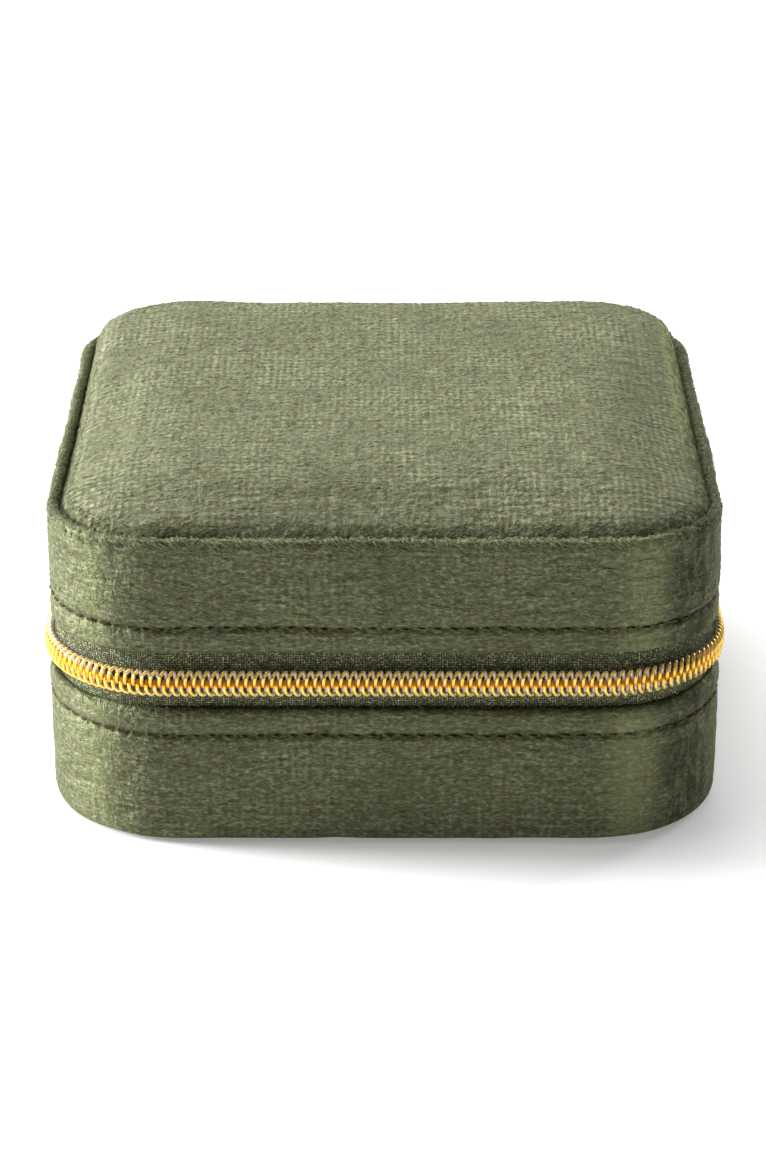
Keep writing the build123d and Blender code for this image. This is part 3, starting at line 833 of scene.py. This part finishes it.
def subdivide(piece):
    """Split each face once, smoothly."""
    piece.modifiers.new("smooth", "SUBSURF").levels = 1
    graph = bpy.context.evaluated_depsgraph_get()
    mesh = bpy.data.meshes.new_from_object(piece.evaluated_get(graph))
    piece.modifiers.clear()
    piece.data = mesh


def roughen(piece, amount, size, seed):
    """Small unevenness along the surface normal."""
    co = vertices_of(piece)
    put_vertices(piece, co + normals_of(piece) * (amount * ripples(co, size, seed))[:, None])
    piece.data.update()


# ---- Zip ----
COIL_PITCH = 1.26 * MM
COIL_WIRE = 0.268 * MM
# One turn of the coil: along the chain, away from its middle, and outward, in millimetres
COIL_TURN = [(0.0, -0.26, 0.3), (0.0, 0.1, 0.52), (0.02, 0.7, 0.56), (0.16, 1.22, 0.46), (0.46, 1.62, 0.22),
             (0.76, 1.78, -0.08), (0.9, 1.45, -0.4), (0.98, 0.8, -0.5), (1.08, 0.15, -0.46),
             (1.19, -0.3, -0.12)]
COIL_STEPS = 22                     # points of one turn
BACK_DEPTH = 0.6                    # the legs behind are pressed to this share of their depth by the tape
UPPER_REACH = 1.06                  # the upper half stands a little taller than the lower one


def zip_coil(name, side, node):
    """One half of the chain: a flattened spiral whose heads mesh with the other half's."""
    outline = Outline(COIL_OUTER - 0.45 * MM, COIL_OUTER - 0.45 * MM - LAYER_CENTRE)
    start, stop = COIL_END, outline.length - COIL_END
    turns = int((stop - start) / COIL_PITCH)
    turn = np.array(COIL_TURN) * MM
    last = turn[:2] + (COIL_PITCH, 0, 0)
    before = turn[-1:] - (COIL_PITCH, 0, 0)
    loop = curve(np.vstack([before, turn, last]), 30)
    loop = walk(loop, np.linspace(0, lengths_along(loop)[-1], COIL_STEPS, endpoint=False))
    along = (np.arange(turns)[:, None] + (0.5 if side < 0 else 0.0)) * COIL_PITCH + loop[None, :, 0]
    along = stop - along.ravel()
    parted = 0.5 * MM * smoothstep((slider_at(outline) - 2 * MM - along) / (7 * MM))
    across = np.tile(loop[:, 1], turns) + parted
    depth = np.tile(np.where(loop[:, 2] < 0, BACK_DEPTH, 1.0) * loop[:, 2], turns)
    places, normals = outline.at(along)
    path = np.zeros((1, len(along), 3))
    path[0, :, :2] = places + normals * depth[:, None]
    path[0, :, 2] = ZIP_HEIGHT + side * across * (UPPER_REACH if side > 0 else 1.0)
    headward = np.clip((0.55 * MM - loop[:, 1]) / (0.5 * MM), 0, 1)
    radius = COIL_WIRE * (1 + 0.10 * headward)
    vertices, faces = tubes(path, np.tile(radius, turns)[None])
    coil = make_object(name, vertices, faces)
    front = np.clip((loop[:, 2] + 0.22 * MM) / (0.3 * MM), 0, 1)
    for label, values in (("front", front), ("head", headward * front)):
        paint(coil, label, np.repeat(np.tile(values, turns), 8))
    dress(coil, COIL)
    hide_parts(node)
    blend_at_hinge(coil)


def slider_at(outline):
    """Distance along an outline of the parked slider, on the right side."""
    low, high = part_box("zip_slider")
    return outline.straight + outline.arc - (low.y + high.y) / 2


def zip_tape(name, side, node):
    """Woven tape from its sewn edge, behind the hem, to the chain."""
    outline = Outline(TAPE_OUTER, TAPE_OUTER - LAYER_CENTRE)
    distances = np.linspace(ZIP_END, outline.length - ZIP_END, 900)
    low, high = 0.12 * MM, TAPE_REACH
    face = [(0.0, high), (0.0, high * 0.6), (0.0, 4.0 * MM), (0.12 * MM, 3.0 * MM), (0.45 * MM, 2.0 * MM),
            (0.62 * MM, 1.2 * MM), (0.66 * MM, low)]
    face = smooth_line(face, 0.4 * MM)
    back = face[::-1] - np.array([TAPE_THICKNESS, 0])
    line = np.vstack([face, back])
    line[:, 1] = ZIP_HEIGHT + side * line[:, 1]
    points, normals = band_points(outline, distances, line)
    points[..., :2] += normals * (0.04 * MM * ripples(points, 7 * MM, 71 + side))[..., None]
    tape = grid_object(name, points, distances, line, close_columns=True, cap_rows=True)
    dress(tape, TAPE)
    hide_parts(node)
    blend_at_hinge(tape)


def chain_stops(name, node, body):
    """Metal barrels crimped over the two ends of a half chain, clear of the hinge line."""
    low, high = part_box(node)
    steps = np.linspace(-1, 1, 17)
    paths = np.zeros((2, len(steps), 3))
    paths[..., 0] = [[low.x + 0.55 * MM], [high.x - 0.55 * MM]]
    paths[..., 1] = (low.y + high.y) / 2 - 0.05 * MM
    paths[..., 2] = (low.z + high.z) / 2 + steps * (high.z - low.z) / 2
    radius = 0.66 * MM * (1 - 0.5 * np.abs(steps) ** 6 - 0.16 * np.exp(-(steps / 0.2) ** 2))
    vertices, faces = tubes(paths, radius[None], sides=20)
    stops = make_object(name, vertices, faces)
    dress(stops, GOLD)
    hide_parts(node)
    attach(stops, body)


def blend_at_hinge(piece):
    """Bake the piece's transform into its mesh."""
    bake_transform(piece)


# ---- Gusset and inside ----
def gusset(name, node, material, seed):
    """Strip of cloth that is the hinge, with a little slack about the hinge line."""
    low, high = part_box(node)
    thickness = high.y - low.y
    across = np.linspace(low.x, high.x, 90)
    up = np.linspace(low.z + 0.1 * MM, high.z - 0.1 * MM, 44)
    outer = np.column_stack([np.full(len(up), high.y), up])
    inner = outer[::-1] - (thickness * 0.8, 0)
    line = np.vstack([outer, inner])
    points = np.zeros((len(across), len(line), 3))
    points[..., 0] = across[:, None]
    points[..., 1:] = line[None]
    slack = np.exp(-((line[:, 1] - HINGE.z) / (2.6 * MM)) ** 2)[None]
    points[..., 1] += 0.16 * MM * slack * ripples(points[..., ::2], 8 * MM, seed) - 0.12 * MM * slack
    strip = grid_object(name, points, across - low.x, line, close_columns=True, cap_rows=True)
    dress(strip, material)
    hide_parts(node)
    # Cut wide enough to be glued under the hems above and below
    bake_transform(strip)


def lining(name, node, board, top_open, body, seed):
    """Suede wall inside one half, turned over the free edge of its board."""
    low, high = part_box(node)
    outline = Outline(high.x - 0.35 * MM, high.x - 0.35 * MM - LAYER_CENTRE)
    side = 1 if top_open else -1
    free = (top_of(board) if top_open else bottom_of(board)) + side * 0.4 * MM
    tall = abs(free - (low.z if top_open else high.z))
    profile = [(-0.32, tall / MM - 0.2), (-0.34, tall / MM * 0.5), (-0.33, 2.0), (-0.30, 0.5), (-0.12, 0.06),
               (0.5, 0.0), (1.3, 0.0), (1.86, 0.04), (1.98, 0.17), (1.88, 0.31), (1.2, 0.33), (0.5, 0.33),
               (0.33, 0.5), (0.32, 1.2), (0.32, 3.2)]
    line = smooth_line(profile_at(free, profile, up=-side), 0.4 * MM)
    distances = np.linspace(0, outline.length, 420, endpoint=False)
    points, normals = band_points(outline, distances, line)
    inner_side = (line[:, 0] < 0)[None]
    points[..., :2] += normals * (0.08 * MM * ripples(points, 9 * MM, seed) * inner_side)[..., None]
    wall = grid_object(name, points, distances, line, close_rows=True)
    dress(wall, SUEDE)
    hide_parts(node)
    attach(wall, body)


def floor_sheet():
    """Suede laid over the floor board."""
    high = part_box("base_lining_floor")[1]
    outline = Outline(high.x, high.x - LAYER_CENTRE)
    count = 240
    edge, _ = outline.at(np.arange(count) * outline.length / count)
    flat, faces = panel(outline, [edge], 1.5 * MM, 1.0 * MM)
    height = high.z - 0.03 * MM + 0.03 * MM * ripples(flat, 12 * MM, 91)
    sheet = make_object("base_floor_suede", np.column_stack([flat, height]), faces, flat)
    dress(sheet, SUEDE)
    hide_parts("base_lining_floor")
    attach(sheet, "base")


def ring_rolls():
    """Four foam rolls in velvet, blown up by cloth simulation; rings stand between them."""
    side = [(2.6, 0.0), (4.9, 0.35), (5.35, 2.2), (5.4, 6.0), (5.2, 9.4), (4.1, 12.2), (2.1, 13.5)]
    section = [(-x, z) for x, z in side] + [(0.0, 13.8), *side[::-1], (0.0, 0.0), (-2.6, 0.0)]
    line = smooth_line(np.array(section) * MM, 0.75 * MM)[:-1]
    end, middle = 2.6 * MM, 6.2 * MM    # how much of each end is rounded, and the height it is rounded about
    bulge = np.sqrt(np.maximum(1 - np.linspace(1, 0, 7) ** 2, 0.12))
    fat = np.concatenate([bulge, np.ones(88), bulge[::-1]])[:, None]
    for number in (1, 2, 3, 4):
        node = f"ring_roll_{number}"
        low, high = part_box(node)
        steps = np.linspace(0, end, 7)
        between = np.linspace(low.y + end, high.y - end, 90)[1:-1]
        y = np.concatenate([low.y + steps, between, high.y - steps[::-1]])
        points = np.zeros((len(y), len(line), 3))
        points[..., 0] = (low.x + high.x) / 2 + line[None, :, 0] * fat
        points[..., 1] = y[:, None]
        points[..., 2] = low.z + middle + (line[None, :, 1] - middle) * fat
        name = f"ring_pad_{number}"
        roll = grid_object(name, points, y - low.y, line, close_columns=True, cap_rows=True)
        flat_foot = np.tile(line[:, 1] < 0.4 * MM, len(y))
        inflate(roll, flat_foot, frames=10, pressure=0.8)
        roughen(roll, 0.06 * MM, 7 * MM, 100 + number)
        keep_within(roll, low, high)
        dress(roll, PAD_VELVET)
        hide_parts(node)
        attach(roll, "base")


def keep_within(piece, low, high):
    """Hold a piece's mesh inside a box."""
    put_vertices(piece, np.clip(vertices_of(piece), np.array(low) + 0.05 * MM, np.array(high) - 0.05 * MM))


def mirror_frame():
    """Padded suede frame that holds the mirror inside the lid."""
    low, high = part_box("mirror_frame")
    outer, window = Outline(high.x - 0.05 * MM, high.x - LAYER_CENTRE), Outline(32.5 * MM, 6.5 * MM)
    places, _ = outer.at(matching_spots(outer, 34, 16))
    inner_places, _ = window.at(matching_spots(window, 34, 16))
    # From the lid's board round the frame's face to the window's edge: share of the way in, and height
    shape = [(0.0, 3.5), (0.0, 1.9), (0.004, 0.9), (0.03, 0.32), (0.1, 0.08), (0.3, 0.0), (0.6, 0.0),
             (0.85, 0.05), (0.95, 0.25), (0.99, 0.7), (1.0, 1.2), (0.995, 1.56)]
    width = outer.half - window.half
    line = smooth_line([(share * width, low.z + z * MM) for share, z in shape], 0.4 * MM)
    share = (line[:, 0] / width)[None, :, None]
    points = np.zeros((len(places), len(line), 3))
    points[..., :2] = places[:, None] * (1 - share) + inner_places[:, None] * share
    points[..., 2] = line[None, :, 1]
    face = ((line[:, 0] > 0.04 * width) & (line[:, 0] < 0.97 * width))[None]
    points[..., 2] += (0.07 * MM * ripples(points, 11 * MM, 95) + 0.05 * MM) * face
    length = np.arange(len(places)) * outer.length / len(places)
    frame_piece = grid_object("mirror_surround", points, length, line, close_rows=True)
    dress(frame_piece, SUEDE)
    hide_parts("mirror_frame")
    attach(frame_piece, "lid")


def soften_edges(names, width):
    """Round the edges of CAD nodes that keep their own shape."""
    for name in names:
        bevel = frame["nodes"][name].modifiers.new("edges", "BEVEL")
        bevel.width, bevel.segments = width, 3
        bevel.limit_method = "ANGLE"
        bevel.angle_limit = math.radians(40)


# ---- Stage ----
def area_light(name, place, target, size, power):
    """Rectangular light at a place, turned to its target; power in watts."""
    data = bpy.data.lights.new(name, "AREA")
    data.shape = "RECTANGLE"
    data.size, data.size_y = size
    data.energy = power
    light = bpy.data.objects.new(name, data)
    bpy.context.scene.collection.objects.link(light)
    light.location = place
    light.rotation_euler = (Vector(target) - Vector(place)).to_track_quat("-Z", "Y").to_euler()


def stage():
    """Pale floor and soft studio light."""
    scene = bpy.context.scene
    scene.view_settings.view_transform = "Standard"
    world = bpy.data.worlds.new("studio")
    scene.world = world
    world.use_nodes = True
    background = world.node_tree.nodes["Background"].inputs
    background["Color"].default_value = (1.0, 1.0, 1.0, 1.0)
    background["Strength"].default_value = 0.11
    floor = make_object("floor", [(-3, -3, 0), (3, -3, 0), (3, 3, 0), (-3, 3, 0)], [[0, 1, 2, 3]])
    floor.data.materials.append(floor_material())
    area_light("overhead", (-0.28, 0.38, 1.02), (0, 0.05, 0.03), size=(1.2, 1.0), power=18)
    area_light("left", (-0.95, 0.12, 0.24), (0, 0, 0.03), size=(0.25, 0.35), power=25)
    area_light("back_right", (0.85, 0.8, 0.45), (0, 0, 0.03), size=(0.3, 0.3), power=6)


def camera():
    data = bpy.data.cameras.new("camera")
    data.lens = 106.1
    data.clip_start = 0.01
    view = bpy.data.objects.new("camera", data)
    bpy.context.scene.collection.objects.link(view)
    elevation, distance = math.radians(23.24), 541.58 * MM
    target = Vector((-0.24 * MM, 0, 21.84 * MM))
    back = Vector((0, -math.cos(elevation), math.sin(elevation)))
    view.location = target + back * distance
    view.rotation_euler = (-back).to_track_quat("-Z", "Y").to_euler()
    bpy.context.scene.camera = view


# ---- Build ----
stage()
camera()
base_band()
lid_band()
stitches("base_stitches", Outline(BASE_HALF, BASE_CORNER), LOWER_STITCHES, -0.1 * MM, "base", 5)
stitches("lid_stitches", Outline(LID_HALF, LID_CORNER), UPPER_STITCHES, -0.14 * MM, "lid", 6)
cushion()
for name, side in (("lower", -1), ("upper", 1)):
    zip_tape(f"{name}_tape", side, f"{name}_zip_tape")
    zip_coil(f"{name}_coil", side, f"{name}_zip_coil")

chain_stops("lower_stops", "lower_zip_stops", "base")
chain_stops("upper_stops", "upper_zip_stops", "lid")
gusset("hinge_velvet", "hinge_gusset", VELVET, 45)
gusset("hinge_suede", "hinge_gusset_lining", SUEDE, 46)
lining("base_lining", "base_lining_wall", "base_wall_board", True, "base", 47)
lining("lid_lining", "lid_lining_wall", "lid_wall_board", False, "lid", 48)
floor_sheet()
ring_rolls()
mirror_frame()

dress_cad(["base_floor_board", "base_wall_board", "lid_top_board", "lid_wall_board", "mirror_backing"], CARD)
dress_cad(["base_side_foam", "lid_side_foam", "lid_rim_cord"], FOAM)
dress_cad(["zip_slider", "pull_link", "pull_tab"], GOLD)
dress_cad(["mirror_glass"], MIRROR)
LINED = ["centre_partition", "divider_front", "divider_rear", "base_bottom_cover"]
dress_cad(LINED, SUEDE)
soften_edges(LINED, 0.4 * MM)
